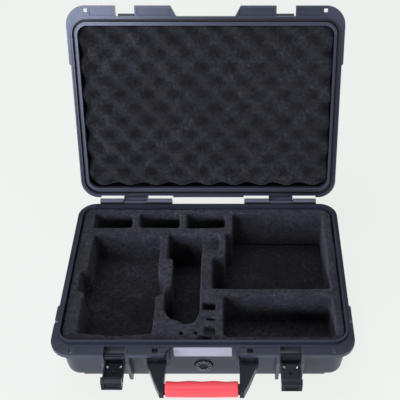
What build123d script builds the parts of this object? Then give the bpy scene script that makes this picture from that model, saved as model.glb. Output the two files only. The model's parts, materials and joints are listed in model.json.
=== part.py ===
"""Hard carrying case for a folding drone: a drafted plastic base and a lid on two rear hinges.

The origin is the centre of the base's underside, +Z is up and -Y is the front, where the handle and
the two latches are. The lid is stored open. All sizes are in millimetres.
"""
from build123d import *
import os
from math import cos, radians, sin, tan

# Rim and shells
RIM_W, RIM_D, RIM_R = 430, 297, 29
BODY_W, BODY_D, BODY_R = 425, 293, 27
CAVITY_W, CAVITY_D, CAVITY_R = 412, 282, 20
SPLIT_Z = 87
LIP_H, LIP_T = 5, 3
FLANGE_T = 6.5
FLOOR_T = 4
LID_H = 55
DRAFT = 5
CAVITY_DRAFT = 3
BASE_EDGE_R, LID_EDGE_R, CAVITY_EDGE_R = 17, 13, 11
RIM_BACK_Y = 152

# Front lugs of both flanges
LUG_Y = -164.5
LUG_SIDE_X, LUG_CORNER_R = 217.5, 29.5
LID_PANEL_DEPTH, BASE_PANEL_DEPTH = 1.5, 0.7
NOTCH_X0, NOTCH_X1 = 110, 140
NOTCH_Y = -149
PADLOCK_X, PADLOCK_Y, PADLOCK_SIZE = 186.5, -157.5, 6.3
STRAP_SLOT_X, STRAP_SLOT_Y = 67.5, -157

# Proud panel of the front wall
PANEL_W, PANEL_PROUD = 358, 2

# Lid rim, seal groove and lid lining
LID_OPENING_W, LID_OPENING_D, LID_RIM_DEPTH = 403, 270, 9
GROOVE_CLEAR, GROOVE_DEPTH = 0.4, 7.9
LINE_INSET, LINE_W, LINE_DEPTH = 2.5, 1.5, 1.2
SEAL_T, SEAL_OVERHANG = 2.5, 0.3
LID_TOP_T = 4
LID_FOAM_X, LID_FOAM_Y0, LID_FOAM_Y1 = 199, -133.5, 130
LID_FOAM_FACE_Z, LID_FOAM_R = 88.6, 11

# Rear hinges
HINGE_Y, HINGE_Z = 160.7, 79
OPEN_DEG = 110.2
HINGE_X0, KNUCKLE_X0, KNUCKLE_X1, HINGE_X1 = 61, 103, 143, 182
BARREL_R, HINGE_PIN_R = 7.2, 2.5
LUG_FRONT_Y, LID_NOTCH_Y, BASE_NOTCH_Y = 152.6, 149.2, 148.9
RUN_CLEAR = 0.05
SIDE_CLEAR = 0.4

# Handle
HANDLE_Y, HANDLE_Z = -158, 67
HANDLE_LENGTH, HANDLE_DROP_DEG = 50, 0
HUB_X0, HUB_X1, HUB_R = 52, 79, 9
HANDLE_INNER_X, HANDLE_OUTER_X = 52.5, 58.5
HANDLE_PIN_R = 2.5
ARM_T = 14
CORE_SIZE = 11
GRIP_L, GRIP_W, GRIP_T = 101, 20, 19

# Latches: each swings up on its pin and hooks over a ridge on the lid
LATCH_Y, LATCH_Z = -157, 73
LATCH_W, LATCH_L = 29, 50
LATCH_PIN_R = 1.75
LATCH_OPEN_DEG = {"left": 90, "right": 95}
HOOK_R, HOOK_TIP_Y = 43, 10
RIDGE_Y = -149
RIB_T = 5
RIB_TIP_Y, RIB_TIP_Z = -151, 10

# Pressure valve in the front wall
VALVE_Z, VALVE_SEAT_Y = 37, -139.5
VALVE_R, VALVE_FLANGE_R, KNOB_R, NECK_R = 8, 11.5, 12.5, 6.5
KNOB_RIBS, FACE_RIBS, FACE_RIB_H = 20, 10, 0.9
NUT_R, NUT_T, WALL_PAD_Y = 12, 4, -134.5

# Name plate
PLATE_W, PLATE_H, PLATE_T, PLATE_Y = 83, 19, 1.6, -149.4
PLATE_Z = 76

# Foam lining of the base
FOAM_TOP_Z, FOAM_BOTTOM_Z = 86.6, 12.4
FOAM_CLEAR, FLOOR_FOAM_CLEAR, FLOOR_FOAM_EDGE_R = 1.5, 4.5, 7
FOAM_FLOOR_Z0, FOAM_FLOOR_Z1 = 4.2, 12.2
FOAM_SPLIT_LEFT_X, FOAM_SPLIT_RIGHT_X = -68, 35
FOAM_SPLIT_REAR_Y, FOAM_SPLIT_FRONT_Y = 86.5, -46
SLOT_SPLIT_X0, SLOT_SPLIT_X1 = -118, -40.5
CHARGER_SPLIT_X, REMOTE_SPLIT_X, REMOTE_SPLIT_Y = 24, -30, -90
FINGER_SPLIT_X = -16
POCKET_FLOOR_Z = {"drone": 32, "charger": 25, "shallow": 70, "small": 58, "through": FOAM_BOTTOM_Z - 1}
BATTERY_SLOTS_X = ((-187, -124), (-112, -46), (-35, 29))
BATTERY_Y0, BATTERY_Y1 = 94, 130
FINGER_NOTCH_X, FINGER_NOTCH_Y, FINGER_NOTCH_R, FINGER_NOTCH_DEPTH = 1, -143, 14, 12
NUT_ROOM_X, NUT_ROOM_Z, NUT_ROOM_Y = 14, 16, -128.5
CORD_HOLE_R, CORD_HOLE_DEPTH, CORD_HOLE_Y = 3.5, 25, -123


def slab(width, depth, radius, z0, z1, taper=0.0, downward=False):
    """A rounded rectangle extruded between two heights, drafted inwards away from its first height."""
    sketch = RectangleRounded(width, depth, radius)
    if downward:
        return extrude(Pos(0, 0, z1) * sketch, z1 - z0, dir=(0, 0, -1), taper=taper)
    return extrude(Pos(0, 0, z0) * sketch, z1 - z0, taper=taper)


def block(x0, x1, y0, y1, z0, z1):
    """A plain box between two corners."""
    centre = Pos((x0 + x1) / 2, (y0 + y1) / 2, (z0 + z1) / 2)
    return centre * Box(x1 - x0, y1 - y0, z1 - z0)


def side_plate(points, x0, x1):
    """A plate whose outline is given as (y, z) points, between two values of x."""
    outline = make_face(Polyline([(0, y, z) for y, z in points], close=True))
    return extrude(Pos(x0, 0, 0) * outline, x1 - x0, dir=(1, 0, 0))


def plan_prism(points, z0, z1, radius=0.0):
    """A prism over a closed outline of (x, y) points, its corners rounded."""
    outline = make_face(Polyline(points, close=True))
    if radius:
        outline = fillet(outline.vertices(), radius)
    return extrude(Pos(0, 0, z0) * outline, z1 - z0, dir=(0, 0, 1))


def rod(radius, x0, x1, y, z):
    """A round bar along X."""
    return Pos((x0 + x1) / 2, y, z) * Rot(0, 90, 0) * Cylinder(radius, x1 - x0)


def disc(radius, y0, y1, x, z):
    """A round disc along Y."""
    return Pos(x, (y0 + y1) / 2, z) * Rot(90, 0, 0) * Cylinder(radius, y1 - y0)


def both_sides(shape):
    """The shape and its mirror image across the middle of the case."""
    return shape + mirror(shape, about=Plane.YZ)


def front_lugs(z0, z1):
    """The lugs along the front of a flange, with the latch notches between them."""
    inner = [(46, NOTCH_Y + 8), (46, NOTCH_Y), (54.6, LUG_Y), (NOTCH_X0, LUG_Y), (NOTCH_X0, NOTCH_Y + 8)]
    outer = [
        (NOTCH_X1, NOTCH_Y + 8), (NOTCH_X1, LUG_Y), (LUG_SIDE_X, LUG_Y), (LUG_SIDE_X, -75), (212, -70),
    ]
    corner = make_face(Polyline(outer, close=True))
    corner = fillet(corner.vertices().sort_by_distance((LUG_SIDE_X, LUG_Y, 0))[0], LUG_CORNER_R)
    lugs = plan_prism(inner, z0, z1) + extrude(Pos(0, 0, z0) * corner, z1 - z0, dir=(0, 0, 1))
    notch = block(NOTCH_X0, NOTCH_X1, LUG_Y - 1, NOTCH_Y, z0 - 1, z1 + 1)
    padlock = Pos(PADLOCK_X, PADLOCK_Y, (z0 + z1) / 2) * Box(PADLOCK_SIZE, PADLOCK_SIZE, z1 - z0 + 2)
    return both_sides(lugs - notch - padlock)


def rim(z0, z1):
    """The flange round a shell, which reaches further back than it does forward."""
    back = RIM_BACK_Y + RIM_D / 2
    return Pos(0, (RIM_BACK_Y - RIM_D / 2) / 2, 0) * slab(RIM_W, back, RIM_R, z0, z1)


def lug_panels(z0, z1):
    """The shallow recessed panels on the lugs' meeting faces."""
    return both_sides(block(52, 106, -161, -150.5, z0, z1) + block(144, 180, -161, -150.5, z0, z1))


def front_panel():
    """The proud middle panel of the base's front wall, with a rounded foot."""
    def face_y(z):
        return -BODY_D / 2 - PANEL_PROUD + (SPLIT_Z - z) * tan(radians(DRAFT))

    outline = [(-125, 84), (face_y(84), 84)]
    for angle in range(0, 71, 10):
        y = face_y(BASE_EDGE_R) + BASE_EDGE_R * (1 - cos(radians(angle)))
        outline.append((y, BASE_EDGE_R * (1 - sin(radians(angle)))))
    outline.append((-125, outline[-1][1]))
    return side_plate(outline, -PANEL_W / 2, PANEL_W / 2)


def latch_ribs():
    """A guard rib on each side of each latch, which also holds the latch's pin."""
    outline = [(-140, 84), (LUG_Y + 0.5, 84), (LUG_Y + 0.5, 66), (RIB_TIP_Y, RIB_TIP_Z), (-130, RIB_TIP_Z)]
    inner = side_plate(outline, NOTCH_X0 - RIB_T, NOTCH_X0)
    outer = side_plate(outline, NOTCH_X1, NOTCH_X1 + RIB_T)
    pin_hole = rod(LATCH_PIN_R, NOTCH_X0 - RIB_T - 1, NOTCH_X1 + RIB_T + 1, LATCH_Y, LATCH_Z)
    return both_sides(inner + outer - pin_hole)


def handle_ears():
    """Two ears beside each handle hub, bored for the handle pins."""
    outline = [(-140, 84), (-160, 84), (-163.5, 74), (-163.5, 62), (-158, 58), (-140, 50)]
    inner = side_plate(outline, HUB_X0 - SIDE_CLEAR - 4, HUB_X0 - SIDE_CLEAR)
    outer = side_plate(outline, HUB_X1 + SIDE_CLEAR, HUB_X1 + SIDE_CLEAR + 4)
    pin_hole = rod(HANDLE_PIN_R, HUB_X0 - 6, HUB_X1 + 6, HANDLE_Y, HANDLE_Z)
    return both_sides(inner + outer - pin_hole)


def hinge_lugs():
    """The base's half of both hinges: two lugs and the web between them."""
    outline = [
        (140, 86), (LUG_FRONT_Y, 86), (LUG_FRONT_Y, 90), (158, 92), (162, 90), (HINGE_Y + 6.5, HINGE_Z),
        (HINGE_Y, HINGE_Z - BARREL_R), (141, 46),
    ]
    lugs = Part()
    for x0, x1 in ((HINGE_X0, KNUCKLE_X0 - SIDE_CLEAR), (KNUCKLE_X1 + SIDE_CLEAR, HINGE_X1)):
        lugs += side_plate(outline, x0, x1) + rod(BARREL_R, x0, x1, HINGE_Y, HINGE_Z)
    web = [(140, 69), (154, 69), (154, 64), (141, 46)]
    lugs += side_plate(web, KNUCKLE_X0 - 1, KNUCKLE_X1 + 1)
    pin_hole = rod(HINGE_PIN_R, HINGE_X0 - 1, HINGE_X1 + 1, HINGE_Y, HINGE_Z)
    return both_sides(lugs - pin_hole)


def side_lugs():
    """A pair of short guards behind each front corner, for the ends of a strap."""
    guard = plan_prism([(205, -122), (219, -118), (219, -108), (213, -104), (219, -100),
                        (219, -90), (205, -84)], 58, 79)
    return both_sides(guard)


def base_shell():
    body = slab(BODY_W, BODY_D, BODY_R, 0, SPLIT_Z, DRAFT, downward=True)
    body = fillet(body.faces().sort_by(Axis.Z)[0].edges(), BASE_EDGE_R)
    cavity = slab(CAVITY_W, CAVITY_D, CAVITY_R, FLOOR_T, SPLIT_Z, CAVITY_DRAFT, downward=True)
    cavity = fillet(cavity.faces().sort_by(Axis.Z)[0].edges(), CAVITY_EDGE_R)
    body += front_panel()
    body += rim(SPLIT_Z - FLANGE_T, SPLIT_Z)
    knuckle_x0, knuckle_x1 = KNUCKLE_X0 - SIDE_CLEAR, KNUCKLE_X1 + SIDE_CLEAR
    body -= both_sides(block(knuckle_x0, knuckle_x1, BASE_NOTCH_Y, RIM_BACK_Y + 1, 70, SPLIT_Z + 1))
    body += front_lugs(SPLIT_Z - FLANGE_T, SPLIT_Z)
    body += slab(CAVITY_W + 2 * LIP_T, CAVITY_D + 2 * LIP_T, CAVITY_R + LIP_T, SPLIT_Z - 1, SPLIT_Z + LIP_H)
    body += block(-43, 43, PLATE_Y, -140, PLATE_Z - 12, SPLIT_Z - 0.5)
    body += latch_ribs() + handle_ears() + hinge_lugs() + side_lugs()
    body -= slab(CAVITY_W, CAVITY_D, CAVITY_R, SPLIT_Z - 0.01, SPLIT_Z + LIP_H + 1)
    body -= cavity
    slot = Pos(STRAP_SLOT_X, STRAP_SLOT_Y, SPLIT_Z) * Box(8.5, 10, 3 * FLANGE_T)
    body -= both_sides(slot) + lug_panels(SPLIT_Z - BASE_PANEL_DEPTH, SPLIT_Z + 1)
    side_notch = [(219, -99.5), (212.5, -103), (212.5, -105), (219, -108.5)]
    body -= both_sides(plan_prism(side_notch, 79, SPLIT_Z + 1))
    body -= disc(KNOB_R + 1.5, -160, VALVE_SEAT_Y, 0, VALVE_Z)
    body += disc(KNOB_R, VALVE_SEAT_Y, WALL_PAD_Y, 0, VALVE_Z)
    body -= disc(VALVE_R, -160, -120, 0, VALVE_Z)
    return body


def lid_closed():
    """The lid shell where it lies when the case is shut."""
    top = SPLIT_Z + LID_H
    lid = slab(BODY_W, BODY_D, BODY_R, SPLIT_Z, top, DRAFT)
    lid = fillet(lid.faces().sort_by(Axis.Z)[-1].edges(), LID_EDGE_R)
    lid += rim(SPLIT_Z, SPLIT_Z + FLANGE_T)
    lid += front_lugs(SPLIT_Z, SPLIT_Z + FLANGE_T)
    lid -= lug_panels(SPLIT_Z - 1, SPLIT_Z + LID_PANEL_DEPTH)
    lid -= both_sides(block(HINGE_X0 - 1, HINGE_X1 + 1, LID_NOTCH_Y, RIM_BACK_Y + 1, SPLIT_Z - 1, 100))
    ridge = [(-140, 112), (-145, 113.6), (RIDGE_Y, 114.6), (RIDGE_Y, 110.6), (-140, 105)]
    lid += both_sides(side_plate(ridge, NOTCH_X0 + 1, NOTCH_X1 - 1))
    arm = [
        (HINGE_Y, HINGE_Z), (149.4, HINGE_Z), (149.4, SPLIT_Z), (145.5, SPLIT_Z),
        (145.5, 100), (149, 100), (HINGE_Y + 6.3, HINGE_Z + 3.5),
    ]
    knuckle = side_plate(arm, KNUCKLE_X0, KNUCKLE_X1)
    knuckle += rod(BARREL_R, KNUCKLE_X0, KNUCKLE_X1, HINGE_Y, HINGE_Z)
    lid += both_sides(knuckle)
    rim_top = SPLIT_Z + LID_RIM_DEPTH
    lid -= slab(CAVITY_W, CAVITY_D, CAVITY_R, rim_top, top - LID_TOP_T, CAVITY_DRAFT)
    lid -= slab(LID_OPENING_W, LID_OPENING_D, CAVITY_R - 4, SPLIT_Z - 1, rim_top + 0.01)
    groove = slab(
        CAVITY_W + 2 * (LIP_T + GROOVE_CLEAR), CAVITY_D + 2 * (LIP_T + GROOVE_CLEAR),
        CAVITY_R + LIP_T + GROOVE_CLEAR, SPLIT_Z - 1, SPLIT_Z + GROOVE_DEPTH,
    )
    groove -= slab(
        CAVITY_W - 2 * GROOVE_CLEAR, CAVITY_D - 2 * GROOVE_CLEAR,
        CAVITY_R - GROOVE_CLEAR, SPLIT_Z - 2, SPLIT_Z + GROOVE_DEPTH + 1,
    )
    line = slab(RIM_W - 2 * LINE_INSET, RIM_D - 2 * LINE_INSET, RIM_R - LINE_INSET,
                SPLIT_Z - 1, SPLIT_Z + LINE_DEPTH)
    line_inset = LINE_INSET + LINE_W
    line -= slab(RIM_W - 2 * line_inset, RIM_D - 2 * line_inset, RIM_R - line_inset,
                 SPLIT_Z - 2, SPLIT_Z + LINE_DEPTH + 1)
    lid -= groove + line
    bore = rod(HINGE_PIN_R + RUN_CLEAR, KNUCKLE_X0 - 1, KNUCKLE_X1 + 1, HINGE_Y, HINGE_Z)
    return lid - both_sides(bore)


def seal_closed():
    """The rubber ring in the bottom of the lid's groove."""
    z1 = SPLIT_Z + GROOVE_DEPTH
    z0 = z1 - SEAL_T
    spread = 2 * SEAL_OVERHANG
    ring = slab(
        CAVITY_W + 2 * LIP_T + spread, CAVITY_D + 2 * LIP_T + spread,
        CAVITY_R + LIP_T + SEAL_OVERHANG, z0, z1,
    )
    return ring - slab(CAVITY_W - spread, CAVITY_D - spread, CAVITY_R - SEAL_OVERHANG, z0 - 1, z1 + 1)


def lid_foam_closed():
    """The foam slab glued inside the lid."""
    z1 = SPLIT_Z + LID_H - LID_TOP_T - 0.2
    foam = block(-LID_FOAM_X, LID_FOAM_X, LID_FOAM_Y0, LID_FOAM_Y1, LID_FOAM_FACE_Z, z1)
    return fillet(foam.edges().filter_by(Axis.Z), LID_FOAM_R)


def opened(shape):
    """Swings a piece of the closed lid open about the hinge pins."""
    return shape.rotate(Axis((0, HINGE_Y, HINGE_Z), (1, 0, 0)), -OPEN_DEG)


def hinge_pin():
    return rod(HINGE_PIN_R, HINGE_X0, HINGE_X1, HINGE_Y, HINGE_Z)


def handle_frame():
    """The plastic handle: two hubs, two tapering arms and the core bar inside the grip."""
    grip_z = -HANDLE_LENGTH
    arm_outline = [
        (HANDLE_INNER_X, 0, 6), (HUB_X1, 0, 6), (HUB_X1, 0, -9), (HANDLE_OUTER_X + 8, 0, grip_z + 8),
        (HANDLE_OUTER_X, 0, grip_z - GRIP_T / 2), (HANDLE_INNER_X, 0, grip_z - GRIP_T / 2),
    ]
    arm = make_face(Polyline(arm_outline, close=True))
    arm = extrude(Pos(0, ARM_T / 2, 0) * arm, ARM_T, dir=(0, -1, 0))
    hub = rod(HUB_R, HUB_X0, HUB_X1, 0, 0)
    side = arm + hub - rod(HANDLE_PIN_R + RUN_CLEAR, HUB_X0 - 1, HUB_X1 + 1, 0, 0)
    frame = both_sides(side)
    frame += Pos(0, 0, grip_z) * Box(2 * HANDLE_INNER_X + 2, CORE_SIZE, CORE_SIZE)
    return frame


def handle_grip():
    """The soft red sleeve over the handle's core bar, with finger waves on its inner side."""
    half = GRIP_L / 2
    wave = []
    for k in range(9):
        x = -half + GRIP_L * k / 8
        wave.append((x, GRIP_T / 2 + (0.9 if k in (3, 5) else 0.0)))
    top = Spline([(x, 0, z) for x, z in wave])
    low = -GRIP_T / 2
    bottom = Polyline([(half, 0, -low), (half, 0, low), (-half, 0, low), (-half, 0, -low)])
    face = make_face([top, bottom])
    grip = extrude(Pos(0, GRIP_W / 2, 0) * face, GRIP_W, dir=(0, -1, 0))
    grip = fillet(grip.edges().filter_by(Axis.X), 6)
    grip -= Box(GRIP_L + 2, CORE_SIZE, CORE_SIZE)
    return Pos(0, 0, -HANDLE_LENGTH) * grip


def hung(shape):
    """Puts a piece of the handle, made hanging from the origin, at the handle's pins."""
    turned = shape.rotate(Axis.X, HANDLE_DROP_DEG - 90)
    return Pos(0, HANDLE_Y, HANDLE_Z) * turned


def handle_pin():
    return rod(HANDLE_PIN_R, HUB_X0 - SIDE_CLEAR - 4, HUB_X1 + SIDE_CLEAR + 4, HANDLE_Y, HANDLE_Z)


def latch_closed():
    """One latch standing shut, with its pin hole at the origin: a plate, two cheeks and a deep hook."""
    half = LATCH_W / 2
    plate = [(-9, -1), (-5.5, -4), (-5.5, 45), (-9, 45)]
    cheek = [(-9, -1), (-6.5, -5), (0, -5), (0, 5), (-1.5, 9), (-1.5, 37), (-9, 37)]
    latch = side_plate(plate, -half, half)
    for x0 in (-half, half - 2.5):
        latch += side_plate(cheek, x0, x0 + 2.5)
    bar = side_plate([(-9, -1), (-6.5, -5), (0, -5), (0, 5), (-9, 5)], -half, half)
    latch += bar + rod(5, -half, half, 0, 0)
    hook = [
        (-9, 40), (HOOK_TIP_Y, 40), (HOOK_TIP_Y, LATCH_L - 4.5), (6.5, LATCH_L - 1), (-9, LATCH_L),
        (-10.5, LATCH_L - 5),
    ]
    under_hook = rod(HOOK_R, -half - 1, half + 1, 0, 0) & block(-half - 1, half + 1, -1.5, 12, 20, 46)
    finger_scoop = rod(9, -half + 5, half - 5, -2.5, LATCH_L + 6.5)
    latch += side_plate(hook, -half, half) - under_hook - finger_scoop
    return latch - rod(LATCH_PIN_R + RUN_CLEAR, -half - 1, half + 1, 0, 0)


def latch(side):
    """The latch of one side at its stored angle."""
    middle = (NOTCH_X0 + NOTCH_X1) / 2
    x = middle if side == "right" else -middle
    return Pos(x, LATCH_Y, LATCH_Z) * latch_closed().rotate(Axis.X, LATCH_OPEN_DEG[side])


def latch_pin():
    return rod(LATCH_PIN_R, NOTCH_X0 - RIB_T, NOTCH_X1 + RIB_T, LATCH_Y, LATCH_Z)


def name_plate():
    z0, z1 = PLATE_Z - PLATE_H / 2, PLATE_Z + PLATE_H / 2
    plate = block(-PLATE_W / 2, PLATE_W / 2, PLATE_Y - PLATE_T, PLATE_Y, z0, z1)
    return fillet(plate.edges().filter_by(Axis.Y), 1.5)


def valve_seal():
    seat = VALVE_SEAT_Y
    ring = disc(VALVE_FLANGE_R - 1, seat - 1.5, seat, 0, VALVE_Z)
    return ring - disc(VALVE_R, seat - 3, seat + 1, 0, VALVE_Z)


def valve_body():
    """The stem through the wall, its flange and the neck that the knob turns on."""
    seat = VALVE_SEAT_Y
    body = disc(VALVE_R, seat - 2.5, -130, 0, VALVE_Z)
    body += disc(VALVE_FLANGE_R, seat - 3, seat - 1.5, 0, VALVE_Z)
    return body + disc(NECK_R, seat - 7, seat - 2.5, 0, VALVE_Z)


def valve_nut():
    hexagon = Pos(0, WALL_PAD_Y, VALVE_Z) * Rot(90, 0, 0) * RegularPolygon(NUT_R, 6)
    return extrude(hexagon, NUT_T, dir=(0, 1, 0)) - disc(VALVE_R, -140, -120, 0, VALVE_Z)


def valve_knob():
    """A ribbed cap that turns on the valve's neck."""
    y0, y1 = VALVE_SEAT_Y - 7.6, VALVE_SEAT_Y - 3.3
    knob = disc(KNOB_R - 0.8, y0, y1, 0, VALVE_Z)
    for k in range(KNOB_RIBS):
        rib = Pos(0, (y0 + y1) / 2, VALVE_Z) * Rot(0, 360 * k / KNOB_RIBS, 0)
        knob += rib * Pos(KNOB_R - 1, 0, 0) * Box(2, y1 - y0, 1.6)
    for k in range(FACE_RIBS):
        rib = Pos(0, y0 - FACE_RIB_H / 2, VALVE_Z) * Rot(0, 360 * k / FACE_RIBS, 0)
        knob += rib * Pos(8.5, 0, 0) * Box(4.5, FACE_RIB_H + 0.4, 1.4)
    return knob - disc(NECK_R + RUN_CLEAR, y0 - 1, y1 + 1, 0, VALVE_Z)


def foam_slab(z0, z1, clear):
    """Foam that fills the cavity between two heights, a little clear of its drafted walls."""
    inset = clear + (SPLIT_Z - z1) * tan(radians(CAVITY_DRAFT))
    return slab(
        CAVITY_W - 2 * inset, CAVITY_D - 2 * inset, CAVITY_R - inset / 3, z0, z1, CAVITY_DRAFT, downward=True,
    )


def foam_pockets():
    """The pockets of the base foam as solids to take away, with the height of each floor."""
    top = FOAM_TOP_Z + 1
    deep = POCKET_FLOOR_Z["through"]
    drone = [
        (-182, 79), (-74, 79), (-74, -6), (-63, -14), (-63, -46), (-74, -54), (-74, -125),
        (-128, -129), (-182, -125), (-182, -48), (-193, -42), (-193, -4), (-182, 4),
    ]
    remote = [
        (-62, 79), (-7, 79), (-7, -87), (-12, -103), (-18, -107), (-31, -107), (-38, -101), (-48, -98),
        (-55, -91), (-61, -79), (-61, -48), (-52, -32), (-52, 24), (-62, 24),
    ]
    accessory = [(41, 129), (191, 129), (191, -39), (10, -39), (10, 28), (30, 28), (30, 83), (41, 83)]
    charger = [(28, -52), (192, -52), (192, -130), (28, -130)]
    pockets = plan_prism(drone, POCKET_FLOOR_Z["drone"], top, 3.5)
    pockets += plan_prism(remote, deep, top, 2)
    pockets += plan_prism(accessory, deep, top, 5)
    pockets += plan_prism(charger, POCKET_FLOOR_Z["charger"], top, 6)
    for x0, x1 in BATTERY_SLOTS_X:
        slot = [(x0, BATTERY_Y0), (x1, BATTERY_Y0), (x1, BATTERY_Y1), (x0, BATTERY_Y1)]
        pockets += plan_prism(slot, deep, top, 5)
    pockets += block(-9, 20, 45, 79, POCKET_FLOOR_Z["shallow"], top)
    pockets += block(-3, 17, -81, -65, POCKET_FLOOR_Z["small"], top)
    pockets += block(3, 17, -100, -95, POCKET_FLOOR_Z["small"], top)
    pockets += block(1, 17, -127, -110, FOAM_TOP_Z - 10, top)
    for x in (-32, -11):
        hole = Cylinder(CORD_HOLE_R, CORD_HOLE_DEPTH + 1)
        pockets += Pos(x, CORD_HOLE_Y, top - (CORD_HOLE_DEPTH + 1) / 2) * hole
    finger_notch = Cylinder(FINGER_NOTCH_R, 2 * FINGER_NOTCH_DEPTH)
    pockets += Pos(FINGER_NOTCH_X, FINGER_NOTCH_Y, FOAM_TOP_Z) * finger_notch
    nut_room = block(-NUT_ROOM_X, NUT_ROOM_X, -142, NUT_ROOM_Y, VALVE_Z - NUT_ROOM_Z, VALVE_Z + NUT_ROOM_Z)
    return pockets + nut_room


def base_foam():
    """The pocketed foam, in the blocks that lie side by side in the base."""
    foam = foam_slab(FOAM_BOTTOM_Z, FOAM_TOP_Z, FOAM_CLEAR) - foam_pockets()
    reach = RIM_W / 2
    left, right = FOAM_SPLIT_LEFT_X, FOAM_SPLIT_RIGHT_X
    rear, front = FOAM_SPLIT_REAR_Y, FOAM_SPLIT_FRONT_Y
    blocks = {
        "rear_left": (-reach, SLOT_SPLIT_X0, rear, reach),
        "rear_middle": (SLOT_SPLIT_X0, SLOT_SPLIT_X1, rear, reach),
        "rear_right": (SLOT_SPLIT_X1, right, rear, reach),
        "left": (-reach, left, -reach, rear),
        "middle": (left, right, front, rear),
        "middle_front_left": (left, REMOTE_SPLIT_X, REMOTE_SPLIT_Y, front),
        "middle_front_right": (REMOTE_SPLIT_X, CHARGER_SPLIT_X, REMOTE_SPLIT_Y, front),
        "front_left": (left, FINGER_SPLIT_X, -reach, REMOTE_SPLIT_Y),
        "front": (FINGER_SPLIT_X, CHARGER_SPLIT_X, -reach, REMOTE_SPLIT_Y),
        "front_right": (CHARGER_SPLIT_X, reach, -reach, front),
        "right": (right, reach, front, reach),
    }
    return {name: foam & block(*sides, 0, SPLIT_Z + 1) for name, sides in blocks.items()}


def foam_floor():
    floor = foam_slab(FOAM_FLOOR_Z0, FOAM_FLOOR_Z1, FLOOR_FOAM_CLEAR)
    return fillet(floor.faces().sort_by(Axis.Z)[0].edges(), FLOOR_FOAM_EDGE_R)


def build():
    """Every sub-part by name."""
    parts = {
        "base_shell": base_shell(),
        "base_foam_floor": foam_floor(),
        "name_plate": name_plate(),
        "valve_body": valve_body(),
        "valve_seal": valve_seal(),
        "valve_nut": valve_nut(),
        "valve_knob": valve_knob(),
        "lid_shell": opened(lid_closed()),
        "lid_foam": opened(lid_foam_closed()),
        "lid_seal": opened(seal_closed()),
        "handle_frame": hung(handle_frame()),
        "handle_grip": hung(handle_grip()),
    }
    for place, foam in base_foam().items():
        parts["base_foam_" + place] = foam
    pins = {"hinge_pin": hinge_pin(), "handle_pin": handle_pin(), "latch_pin": latch_pin()}
    for name, pin in pins.items():
        parts[name + "_right"] = pin
        parts[name + "_left"] = mirror(pin, about=Plane.YZ)
    for side in ("left", "right"):
        parts["latch_" + side] = latch(side)
    return parts


os.makedirs("parts", exist_ok=True)
for name, shape in build().items():
    export_step(shape, "parts/" + name + ".step")
    print(name, len(shape.solids()), "solid, volume", round(shape.volume / 1000, 1), "cm3")
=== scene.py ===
"""The looks of the drone carrying case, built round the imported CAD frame."""
import json
import math

import bmesh
import bpy
from mathutils import Matrix, Vector, noise


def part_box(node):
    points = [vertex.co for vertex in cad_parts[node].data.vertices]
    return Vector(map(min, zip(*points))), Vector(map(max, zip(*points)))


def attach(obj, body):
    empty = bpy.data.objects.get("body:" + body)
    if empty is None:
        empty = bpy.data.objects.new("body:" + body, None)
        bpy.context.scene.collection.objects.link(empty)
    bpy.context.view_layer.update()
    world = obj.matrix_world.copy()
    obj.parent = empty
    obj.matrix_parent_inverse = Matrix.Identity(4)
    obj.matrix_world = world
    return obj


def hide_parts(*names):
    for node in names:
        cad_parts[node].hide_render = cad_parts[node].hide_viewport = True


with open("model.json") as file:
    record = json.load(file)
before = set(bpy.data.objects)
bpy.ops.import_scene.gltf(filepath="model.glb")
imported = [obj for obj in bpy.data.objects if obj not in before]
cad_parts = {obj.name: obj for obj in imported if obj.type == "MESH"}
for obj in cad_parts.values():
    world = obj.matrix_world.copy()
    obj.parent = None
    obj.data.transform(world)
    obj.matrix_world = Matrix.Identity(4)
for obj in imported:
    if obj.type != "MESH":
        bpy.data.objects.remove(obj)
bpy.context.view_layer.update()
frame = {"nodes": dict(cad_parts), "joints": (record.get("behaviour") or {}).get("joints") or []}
nodes = frame["nodes"]

# --- the lid's frame: where it lies when shut, and how far it is stored open ---------------------------

LID = next(j for j in frame["joints"] if j["name"] == "lid_hinge")
HINGE = Vector(LID["pos_m"])
OPEN_ANGLE = math.radians(LID["range_deg"][1])
LID_OPEN = (
    Matrix.Translation(HINGE) @ Matrix.Rotation(-OPEN_ANGLE, 4, "X") @ Matrix.Translation(-HINGE)
)


# --- helpers -------------------------------------------------------------------------------------------

def link(name, mesh, body, material):
    """A new piece with one material, riding on a CAD body."""
    piece = bpy.data.objects.new(name, mesh)
    bpy.context.scene.collection.objects.link(piece)
    piece.data.materials.append(material)
    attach(piece, body)
    return piece


def apply_modifiers(piece):
    """Turns a piece's modifiers into its mesh."""
    graph = bpy.context.evaluated_depsgraph_get()
    mesh = bpy.data.meshes.new_from_object(piece.evaluated_get(graph))
    piece.modifiers.clear()
    piece.data = mesh
    return piece


def smooth_shade(mesh):
    """Shades every face of a mesh smooth."""
    mesh.polygons.foreach_set("use_smooth", [True] * len(mesh.polygons))
    mesh.update()


# --- materials -----------------------------------------------------------------------------------------

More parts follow.
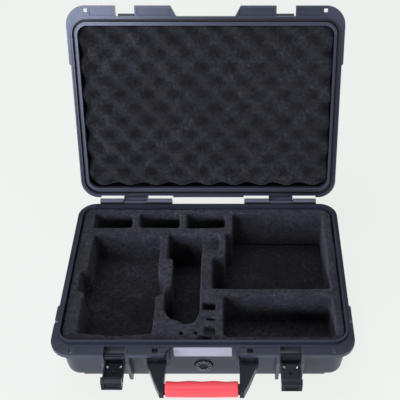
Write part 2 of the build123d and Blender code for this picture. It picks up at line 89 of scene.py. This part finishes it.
class Nodes:
    """A short hand for building one material's node tree."""

    def __init__(self, name):
        self.material = bpy.data.materials.new(name)
        self.material.use_nodes = True
        self.tree = self.material.node_tree
        self.shader = self.tree.nodes["Principled BSDF"]
        self.place = self.tree.nodes.new("ShaderNodeTexCoord").outputs["Object"]

    def add(self, kind, **settings):
        """A new node with the given settings."""
        node = self.tree.nodes.new(kind)
        for key, value in settings.items():
            setattr(node, key, value)
        return node

    def join(self, output, socket):
        self.tree.links.new(output, socket)

    def stretch(self, scale):
        """Stretches the texture space of the noise nodes that follow."""
        mapping = self.add("ShaderNodeMapping")
        mapping.inputs["Scale"].default_value = scale
        self.join(self.place, mapping.inputs["Vector"])
        self.place = mapping.outputs["Vector"]

    def noise(self, scale, detail=4.0, roughness=0.5, distortion=0.0):
        node = self.add("ShaderNodeTexNoise")
        node.inputs["Scale"].default_value = scale
        node.inputs["Detail"].default_value = detail
        node.inputs["Roughness"].default_value = roughness
        node.inputs["Distortion"].default_value = distortion
        self.join(self.place, node.inputs["Vector"])
        return node.outputs["Fac"]

    def range(self, value, low, high, from_low=0.3, from_high=0.7):
        """Maps a value's range from_low to from_high onto low to high."""
        node = self.add("ShaderNodeMapRange")
        node.inputs["From Min"].default_value = from_low
        node.inputs["From Max"].default_value = from_high
        node.inputs["To Min"].default_value = low
        node.inputs["To Max"].default_value = high
        self.join(value, node.inputs["Value"])
        return node.outputs["Result"]

    def mix(self, factor, low, high, blend="MIX"):
        """Blends two colours, each a constant or a socket, by a factor, a number or a socket."""
        node = self.add("ShaderNodeMix", data_type="RGBA", blend_type=blend)
        if isinstance(factor, float):
            node.inputs["Factor"].default_value = factor
        else:
            self.join(factor, node.inputs["Factor"])
        for socket, colour in ((node.inputs[6], low), (node.inputs[7], high)):
            if isinstance(colour, tuple):
                socket.default_value = (*colour, 1.0)
            else:
                self.join(colour, socket)
        return node.outputs[2]

    def add_up(self, a, b, weight=1.0):
        """The sum of a and the weighted b."""
        node = self.add("ShaderNodeMath", operation="MULTIPLY_ADD")
        self.join(b, node.inputs[0])
        node.inputs[1].default_value = weight
        self.join(a, node.inputs[2])
        return node.outputs[0]

    def bump(self, height, strength, distance):
        node = self.add("ShaderNodeBump")
        node.inputs["Strength"].default_value = strength
        node.inputs["Distance"].default_value = distance
        self.join(height, node.inputs["Height"])
        self.join(node.outputs["Normal"], self.shader.inputs["Normal"])

    def colour(self, output):
        self.join(output, self.shader.inputs["Base Color"])

    def rough(self, output):
        self.join(output, self.shader.inputs["Roughness"])

    def set(self, **values):
        for key, value in values.items():
            self.shader.inputs[key.replace("_", " ")].default_value = value


COOL_GLOSS = (0.72, 0.81, 1.0, 1.0)


def moulded_plastic(name, dark, light, rough_low, rough_high, grain=1400.0, depth=0.00012, specular=0.5):
    """Spark-textured moulded plastic: a fine grain, faint flow marks, and lighter sharp edges that are partly
    edge wear and partly a painted highlight.
    """
    m = Nodes(name)
    flow = m.noise(9.0, 3.0, 0.6, 0.4)
    grainy = m.noise(grain, 2.0, 0.6)
    tone = m.mix(m.range(flow, 0.0, 1.0), dark, light)
    # Sharp edges are lightened: partly edge wear, partly a painted highlight along the edges.
    edge_sharpness = m.add("ShaderNodeNewGeometry").outputs["Pointiness"]
    worn_and_highlit_edges = m.range(edge_sharpness, 0.0, 0.55, 0.53, 0.62)
    m.colour(m.mix(worn_and_highlit_edges, tone, tuple(min(1.0, 1.9 * c + 0.012) for c in light)))
    m.rough(m.range(m.add_up(flow, grainy, 0.5), rough_low, rough_high, 0.4, 1.1))
    m.bump(grainy, 0.35, depth)
    m.set(Specular_IOR_Level=specular)
    m.set(Specular_Tint=COOL_GLOSS)
    return m.material


# Foam within this depth of its top keeps its full colour; lower down it is darkened as painted shade.
FOAM_LIT_DEPTH = 0.004


def foam_material(name, dark, light, top=None, depth=0.055, pocket_shade_tone=0.56):
    """Open-cell foam with a flocked, dusty face. With a top height given, the foam gets darker below it:
    painted shade deep in the pockets.
    """
    m = Nodes(name)
    cells = m.add("ShaderNodeTexVoronoi", feature="F1")
    cells.inputs["Scale"].default_value = 700.0
    m.join(m.place, cells.inputs["Vector"])
    fuzz = m.noise(260.0, 6.0, 0.75)
    patches = m.noise(48.0, 6.0, 0.72, 1.2)
    cloud = m.noise(15.0, 4.0, 0.6, 0.8)
    tone = m.mix(m.range(cloud, 0.0, 1.0, 0.35, 0.65), dark, light)
    flock = tuple(1.9 * c for c in light)
    tone = m.mix(m.range(m.add_up(patches, cloud, 0.4), 0.0, 0.6, 0.7, 0.88), tone, flock)
    grain = m.noise(170.0, 3.0, 0.6)
    coarse = m.add_up(fuzz, grain, 0.8)
    speckled = m.mix(m.range(coarse, 0.0, 1.0, 0.72, 1.08), tuple(0.5 * c for c in dark), tone)
    # Painted shade: below its top the foam darkens with depth, standing in for the shade that falls in the
    # pockets.
    if top is not None:
        split = m.add("ShaderNodeSeparateXYZ")
        m.join(m.place, split.inputs[0])
        low = m.range(split.outputs["Z"], 1.0, 0.0, top - depth, top - FOAM_LIT_DEPTH)
        shade = m.mix(low, (1.0, 1.0, 1.0), (pocket_shade_tone, pocket_shade_tone, pocket_shade_tone))
        speckled = m.mix(1.0, speckled, shade, "MULTIPLY")
    m.colour(speckled)
    m.rough(m.range(cloud, 0.9, 1.0))
    m.bump(m.add_up(fuzz, cells.outputs["Distance"], 0.6), 0.7, 0.0009)
    m.set(Specular_IOR_Level=0.12, Sheen_Weight=0.12, Sheen_Roughness=0.55)
    m.set(Sheen_Tint=(0.6, 0.6, 0.7, 1.0))
    return m.material


def steel_material(name):
    """Bright steel with fine turning marks across the pin."""
    m = Nodes(name)
    m.stretch((1.0, 30.0, 30.0))
    turned = m.noise(90.0, 3.0, 0.6)
    m.colour(m.mix(turned, (0.42, 0.42, 0.44), (0.62, 0.62, 0.64)))
    m.rough(m.range(turned, 0.24, 0.4))
    m.bump(turned, 0.15, 0.0001)
    m.set(Metallic=1.0)
    return m.material


def rubber_material(name, colour, light, rough, grain):
    """Soft moulded rubber, between two tones, with a fine grain."""
    m = Nodes(name)
    soft = m.noise(14.0, 3.0, 0.5)
    fine = m.noise(grain, 3.0, 0.6)
    m.colour(m.mix(m.range(soft, 0.0, 1.0), colour, light))
    m.rough(m.range(m.add_up(soft, fine, 0.6), rough - 0.06, rough + 0.08, 0.5, 1.1))
    m.bump(fine, 0.2, 0.00012)
    return m.material


def plate_material(name):
    """Painted satin plate with a faint horizontal brush."""
    m = Nodes(name)
    m.stretch((6.0, 1.0, 900.0))
    brushed = m.noise(1.0, 2.0, 0.5)
    m.colour(m.mix(m.range(brushed, 0.0, 1.0), (0.33, 0.34, 0.42), (0.39, 0.40, 0.48)))
    m.rough(m.range(brushed, 0.32, 0.45))
    m.bump(brushed, 0.08, 0.00008)
    return m.material


SHELL = moulded_plastic(
    "shell_plastic", (0.017, 0.019, 0.029), (0.026, 0.029, 0.043), 0.27, 0.4, specular=0.56
)
KNOB = moulded_plastic("knob_plastic", (0.042, 0.046, 0.060), (0.062, 0.067, 0.086), 0.26, 0.4, specular=0.85)
TRIM = moulded_plastic(
    "trim_plastic", (0.004, 0.004, 0.006), (0.007, 0.007, 0.010), 0.22, 0.36, 1800.0, 0.00006, 0.2
)
FOAM_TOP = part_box("base_foam_left")[1][2]
FOAM = foam_material("foam", (0.036, 0.036, 0.046), (0.052, 0.053, 0.066), FOAM_TOP)
LID_FOAM = foam_material("lid_foam", (0.018, 0.018, 0.022), (0.029, 0.029, 0.036))
STEEL = steel_material("pin_steel")
SEAL = rubber_material("seal_rubber", (0.012, 0.012, 0.014), (0.018, 0.018, 0.02), 0.6, 900.0)
GRIP = rubber_material("grip_red", (0.93, 0.055, 0.075), (0.97, 0.075, 0.095), 0.4, 1300.0)
PLATE = plate_material("plate_plastic")

# Each CAD node's material and the radius of its rounded edges.
CAD_LOOKS = {
    "base_shell": (SHELL, 0.0012), "lid_shell": (SHELL, 0.0012), "name_plate": (PLATE, 0.0004),
    "valve_body": (TRIM, 0.0003), "valve_knob": (KNOB, 0.0004), "valve_nut": (TRIM, 0.0003),
    "valve_seal": (SEAL, 0.0003), "lid_seal": (SEAL, 0.0004), "handle_frame": (TRIM, 0.0012),
    "latch_left": (TRIM, 0.0005), "latch_right": (TRIM, 0.0005),
}
for part in ("hinge_pin", "handle_pin", "latch_pin"):
    for side in ("left", "right"):
        CAD_LOOKS[part + "_" + side] = (STEEL, 0.0003)


def dress_cad():
    """Gives each CAD node its material and a small rounded edge."""
    for name, (material, radius) in CAD_LOOKS.items():
        node = nodes[name]
        node.data.materials.clear()
        node.data.materials.append(material)
        bevel = node.modifiers.new("edges", "BEVEL")
        bevel.width = radius
        bevel.segments = 3
        bevel.limit_method = "ANGLE"
        bevel.angle_limit = math.radians(35)
        bevel.harden_normals = True


# --- soft pieces ---------------------------------------------------------------------------------------

# Blender's noise vectors take their offsets from this seed.
NOISE_SEED = 11
noise.seed_set(NOISE_SEED)


def wander(point, size, seed):
    """A smooth random offset, the same on every run."""
    return noise.noise_vector((point + Vector((seed, 2.3 * seed, 0.7 * seed))) / size)


FOAM_BLOCKS = [name for name in nodes if name.startswith("base_foam_") and name != "base_foam_floor"]
BLOCK_LAP = 0.0008
OUTER_MARGIN = 0.006
FOAM_VOXEL = 0.0018
LONG_WAVE, LONG_WAVE_H = 0.045, 0.0012
SHORT_WAVE, SHORT_WAVE_H = 0.012, 0.0006
TOP_ZONE = 0.02


def joined_blocks():
    """One mesh of all the foam blocks, each lapped a little over its neighbours."""
    boxes = [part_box(node) for node in FOAM_BLOCKS]
    outer = (
        [min(box[0][axis] for box in boxes) for axis in (0, 1)],
        [max(box[1][axis] for box in boxes) for axis in (0, 1)],
    )
    bm = bmesh.new()
    for node, box in zip(FOAM_BLOCKS, boxes):
        part = bmesh.new()
        part.from_mesh(nodes[node].data)
        for side, push in ((0, -BLOCK_LAP), (1, BLOCK_LAP)):
            for axis in (0, 1):
                plane = box[side][axis]
                if abs(plane - outer[side][axis]) < OUTER_MARGIN:
                    continue
                for v in part.verts:
                    if abs(v.co[axis] - plane) < 1e-5:
                        v.co[axis] += push
        mesh = bpy.data.meshes.new("block")
        part.to_mesh(mesh)
        part.free()
        bm.from_mesh(mesh)
        bpy.data.meshes.remove(mesh)
    mesh = bpy.data.meshes.new("base_foam")
    bm.to_mesh(mesh)
    bm.free()
    return mesh


def base_foam():
    """The pocketed insert, its blocks made one piece, with soft, slightly wavy cut edges."""
    piece = bpy.data.objects.new("base_foam", joined_blocks())
    bpy.context.scene.collection.objects.link(piece)
    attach(piece, "base")
    remesh = piece.modifiers.new("remesh", "REMESH")
    remesh.mode = "VOXEL"
    remesh.voxel_size = FOAM_VOXEL
    smooth = piece.modifiers.new("smooth", "SMOOTH")
    smooth.factor = 0.6
    smooth.iterations = 3
    apply_modifiers(piece)
    for v in piece.data.vertices:
        push = wander(v.co, LONG_WAVE, 3.0) * LONG_WAVE_H + wander(v.co, SHORT_WAVE, 9.0) * SHORT_WAVE_H
        near_top = max(0.0, 1.0 - (FOAM_TOP - v.co.z) / TOP_ZONE)
        push.z *= 0.3 + 0.5 * near_top
        v.co += push
        v.co.z = min(v.co.z, FOAM_TOP)
    piece.data.materials.append(FOAM)
    smooth_shade(piece.data)
    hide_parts(*FOAM_BLOCKS)


# The rim of a foam sheet's top curls down by this much, over this width.
RIM_CURL, RIM_CURL_WIDTH = 0.0025, 0.004


def foam_slab(name, low, high, radius, wave, step):
    """A soft sheet of foam with rounded corners and rim, its top lowered by wave(x, y)."""
    mesh = bpy.data.meshes.new(name)
    bm = bmesh.new()
    nx = max(2, round((high.x - low.x) / step))
    ny = max(2, round((high.y - low.y) / step))
    rows = {}
    for level in ("top", "bottom"):
        for i in range(nx + 1):
            for j in range(ny + 1):
                x = low.x + (high.x - low.x) * i / nx
                y = low.y + (high.y - low.y) * j / ny
                z = high.z - wave(x, y) if level == "top" else low.z
                dx = min(x - low.x, high.x - x)
                dy = min(y - low.y, high.y - y)
                corner = radius - min(radius, dx), radius - min(radius, dy)
                reach = math.hypot(*corner)
                if reach > radius:
                    pull = radius / reach
                    x += math.copysign(corner[0] * (1 - pull), (low.x + high.x) / 2 - x)
                    y += math.copysign(corner[1] * (1 - pull), (low.y + high.y) / 2 - y)
                    dx, dy = 0.0, 0.0
                if level == "top":
                    fall = max(0.0, 1.0 - min(dx, dy) / RIM_CURL_WIDTH)
                    z -= RIM_CURL * fall * fall
                rows[level, i, j] = bm.verts.new((x, y, z))
    for level in ("top", "bottom"):
        for i in range(nx):
            for j in range(ny):
                places = ((i, j), (i + 1, j), (i + 1, j + 1), (i, j + 1))
                corners = [rows[level, *place] for place in places]
                if level == "bottom":
                    corners.reverse()
                bm.faces.new(corners)
    ring = [(i, 0) for i in range(nx)] + [(nx, j) for j in range(ny)]
    ring += [(i, ny) for i in range(nx, 0, -1)] + [(0, j) for j in range(ny, 0, -1)]
    for k, a in enumerate(ring):
        b = ring[(k + 1) % len(ring)]
        bm.faces.new([rows["bottom", *a], rows["bottom", *b], rows["top", *b], rows["top", *a]])
    bm.normal_update()
    bm.to_mesh(mesh)
    bm.free()
    smooth_shade(mesh)
    return mesh


def foam_floor():
    """The thin foam under the insert, seen at the bottom of the deep pockets."""
    low, high = (Vector(c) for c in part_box("base_foam_floor"))

    def wave(x, y):
        return 0.0006 * (1 + noise.noise(Vector((x, y, 0.4)) / 0.05))

    mesh = foam_slab("foam_floor", low, high, 0.016, wave, 0.005)
    piece = link("foam_floor", mesh, "base", FOAM)
    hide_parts("base_foam_floor")


EGG_PERIOD = 0.0444
EGG_DEPTH = 0.015
LID_FOAM_SPREAD = 0.0017


def lid_foam():
    """The egg-crate foam of the lid, made lying in the shut lid and swung open."""
    shut = LID_OPEN.inverted()
    corners = [shut @ v.co for v in nodes["lid_foam"].data.vertices]
    low = Vector([min(c[k] for c in corners) for k in range(3)])
    high = Vector([max(c[k] for c in corners) for k in range(3)])
    low -= Vector((LID_FOAM_SPREAD, LID_FOAM_SPREAD / 2, 0))
    high += Vector((LID_FOAM_SPREAD, LID_FOAM_SPREAD, 0))
    middle = (low + high) / 2

    def wave(x, y):
        u = 2 * math.pi * (x - middle.x) / EGG_PERIOD
        v = 2 * math.pi * (y - middle.y) / EGG_PERIOD
        swell = 0.5 - 0.5 * math.cos(u) * math.cos(v)
        rough = noise.noise(Vector((x, y, 1.7)) / 0.03)
        return EGG_DEPTH * swell + 0.0012 * (1 + rough)

    # The sheet is made peaks up and then turned over, so that its peaks face down into the base.
    flip = Matrix.Translation((0, 0, low.z + high.z)) @ Matrix.Scale(-1, 4, (0, 0, 1))
    mesh = foam_slab("lid_foam", low, high, 0.010, wave, 0.003)
    mesh.transform(LID_OPEN @ flip)
    mesh.flip_normals()
    piece = link("egg_crate_foam", mesh, "lid", LID_FOAM)
    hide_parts("lid_foam")


# --- small moulded and metal details -------------------------------------------------------------------

def lathe(name, profile, matrix, segments=24):
    """A turned shape from a (radius, height) profile, placed by a matrix."""
    mesh = bpy.data.meshes.new(name)
    bm = bmesh.new()
    rings = []
    for radius, height in profile:
        ring = []
        for k in range(segments):
            turn = 2 * math.pi * k / segments
            ring.append(bm.verts.new((radius * math.cos(turn), radius * math.sin(turn), height)))
        rings.append(ring)
    for lower, upper in zip(rings, rings[1:]):
        for k in range(segments):
            following = (k + 1) % segments
            bm.faces.new((lower[k], lower[following], upper[following], upper[k]))
    bm.faces.new(rings[-1])
    bm.faces.new(list(reversed(rings[0])))
    bm.transform(matrix)
    bm.normal_update()
    bm.to_mesh(mesh)
    bm.free()
    smooth_shade(mesh)
    return mesh


# The latch's inner face lies this far from its pivot, in the shut latch's own frame.
LATCH_FACE = -0.0055
RIVET_PROFILE = [
    (0.0021, -0.001), (0.0025, 0.0002), (0.0025, 0.0007),
    (0.0021, 0.0015), (0.0013, 0.0021), (0.0004, 0.0024),
]
MARK_PROFILE = [(0.0032, -0.001), (0.0032, 0.0004), (0.0027, 0.0007), (0.0022, 0.0004), (0.0006, 0.0003)]
# Label, place across and along the latch, profile, slot and material.
LATCH_DETAILS = (
    ("rivet_a", -0.0098, 0.014, RIVET_PROFILE, "pin_steel", STEEL),
    ("rivet_b", 0.0098, 0.014, RIVET_PROFILE, "pin_steel", STEEL),
    ("mark", 0.0, 0.023, MARK_PROFILE, "trim_plastic", TRIM),
)


def latch_rivets():
    """Two domed rivets and a moulding mark on the inner face of each latch."""
    joints = {joint["child"]: joint for joint in frame["joints"]}
    upright = Matrix.Rotation(-math.pi / 2, 4, "X")
    for side in ("left", "right"):
        joint = joints[side + "_latch"]
        turn = Matrix.Rotation(math.radians(joint["range_deg"][1]), 4, "X")
        face = Matrix.Translation(Vector(joint["pos_m"])) @ turn
        for label, across, along, profile, slot, material in LATCH_DETAILS:
            place = face @ Matrix.Translation((across, LATCH_FACE, along)) @ upright
            name = f"{side}_latch_{label}"
            link(name, lathe(name, profile, place), side + "_latch", material)


GRIP_STEPS, GRIP_AROUND = 120, 48
# The power that makes the grip's section a rounded square.
GRIP_SQUARENESS = 0.62
GRIP_SHOULDER = 0.003
GRIP_WAVE, GRIP_SWELL = 0.0016, 0.0007
# The two mould lines along the grip: their angles round it, their width as an angle, and their depth.
CREASE_ANGLES, CREASE_WIDTH, CREASE_DEPTH, CREASE_FADE = (0.62, 2.25), 0.07, 0.0005, 0.008


def handle_grip():
    """The red sleeve: a rounded-square tube with finger waves, and shoulders at its ends."""
    low, high = (Vector(c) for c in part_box("handle_grip"))
    middle = (low + high) / 2
    half_x, half_y, half_z = (high - low) / 2
    mesh = bpy.data.meshes.new("grip_sleeve")
    bm = bmesh.new()
    rings = []
    for i in range(GRIP_STEPS + 1):
        t = -1 + 2 * i / GRIP_STEPS
        from_end = half_x * (1 - abs(t))
        shoulder = math.sqrt(max(0.0, 1 - (1 - min(1.0, from_end / GRIP_SHOULDER)) ** 2))
        waist = 0.9 + 0.1 * shoulder
        swell = GRIP_SWELL * math.cos(math.pi * t / 2)
        wave = GRIP_WAVE * (0.5 + 0.5 * math.cos(3 * math.pi * t)) if abs(t) < 1 else 0.0
        ring = []
        for k in range(GRIP_AROUND):
            turn = 2 * math.pi * k / GRIP_AROUND
            c, s = math.cos(turn), math.sin(turn)
            y = half_y * math.copysign(abs(c) ** GRIP_SQUARENESS, c) * 0.97
            z = half_z * math.copysign(abs(s) ** GRIP_SQUARENESS, s)
            y += swell * c - wave * max(0.0, c)
            crease = sum(math.exp(-((turn - angle) / CREASE_WIDTH) ** 2) for angle in CREASE_ANGLES)
            pull = CREASE_DEPTH * crease * min(1.0, from_end / CREASE_FADE)
            y -= pull * c
            z -= pull * s
            ring.append(bm.verts.new((middle.x + half_x * t, middle.y + y * waist, middle.z + z * waist)))
        rings.append(ring)
    for a, b in zip(rings, rings[1:]):
        for k in range(GRIP_AROUND):
            following = (k + 1) % GRIP_AROUND
            bm.faces.new((a[k], a[following], b[following], b[k]))
    bm.faces.new(list(reversed(rings[0])))
    bm.faces.new(rings[-1])
    bm.normal_update()
    bm.to_mesh(mesh)
    bm.free()
    smooth_shade(mesh)
    piece = link("grip_sleeve", mesh, "handle", GRIP)
    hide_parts("handle_grip")


# --- floor, light and camera ---------------------------------------------------------------------------

FLOOR_REACH = 30.0
FLOOR_COLOUR = (0.10, 0.10, 0.10)
FLOOR_GLOW = (0.79, 0.81, 0.785)
WORLD_COLOUR = (0.93, 0.95, 1.0)
WORLD_STRENGTH = 0.17


def stage():
    """A pale floor that glows a little, so that it stays even and its shadows stay faint."""
    mesh = bpy.data.meshes.new("floor")
    corners = [(sx * FLOOR_REACH, sy * FLOOR_REACH, 0) for sx, sy in ((-1, -1), (1, -1), (1, 1), (-1, 1))]
    mesh.from_pydata(corners, [], [(0, 1, 2, 3)])
    floor = bpy.data.objects.new("floor", mesh)
    bpy.context.scene.collection.objects.link(floor)
    material = bpy.data.materials.new("floor")
    material.use_nodes = True
    shader = material.node_tree.nodes["Principled BSDF"]
    shader.inputs["Base Color"].default_value = (*FLOOR_COLOUR, 1)
    shader.inputs["Roughness"].default_value = 1.0
    shader.inputs["Specular IOR Level"].default_value = 0.0
    shader.inputs["Emission Color"].default_value = (*FLOOR_GLOW, 1)
    shader.inputs["Emission Strength"].default_value = 1.0
    mesh.materials.append(material)


def area_light(name, place, target, size, power, colour):
    """A rectangular softbox that looks at a target."""
    data = bpy.data.lights.new(name, "AREA")
    data.shape = "RECTANGLE"
    data.size, data.size_y = size
    data.energy = power
    data.color = colour
    lamp = bpy.data.objects.new(name, data)
    bpy.context.scene.collection.objects.link(lamp)
    lamp.location = place
    lamp.rotation_euler = (Vector(target) - Vector(place)).to_track_quat("-Z", "Y").to_euler()


def lights():
    """A soft sky, and softboxes at the left, the right and above."""
    world = bpy.data.worlds.new("studio")
    world.use_nodes = True
    background = world.node_tree.nodes["Background"]
    background.inputs["Color"].default_value = (*WORLD_COLOUR, 1)
    background.inputs["Strength"].default_value = WORLD_STRENGTH
    bpy.context.scene.world = world
    # The left box is small and low, so that the lid's left lugs mirror it.
    area_light("softbox_left", (-0.90, -2.1, 0.93), (-0.18, 0.28, 0.36), (0.80, 0.40), 36, (0.88, 0.88, 1.0))
    area_light("side_left", (-1.9, -1.2, 0.5), (-0.2, -0.1, 0.05), (0.9, 0.7), 34, (0.86, 0.89, 1.0))
    area_light("softbox_right", (2.0, -0.9, 1.2), (0, 0, 0.1), (1.0, 1.0), 9, (0.93, 0.95, 1.0))
    area_light("top", (-0.3, 0.4, 2.3), (-0.1, -0.05, 0), (1.6, 1.2), 22, (0.96, 0.97, 1.0))


def camera():
    """The camera's place, lens and shift give the view from the front and above."""
    data = bpy.data.cameras.new("camera")
    data.sensor_width = 36.0
    data.lens = 71.3
    data.shift_x, data.shift_y = -0.0925, 0.1
    cam = bpy.data.objects.new("camera", data)
    bpy.context.scene.collection.objects.link(cam)
    cam.location = (0.04875, -0.8395, 0.9866)
    cam.rotation_euler = (math.radians(90 - 44.84), 0, 0)
    bpy.context.scene.camera = cam


bpy.context.scene.view_settings.view_transform = "Standard"
camera()
dress_cad()
base_foam()
foam_floor()
lid_foam()
latch_rivets()
handle_grip()
stage()
lights()
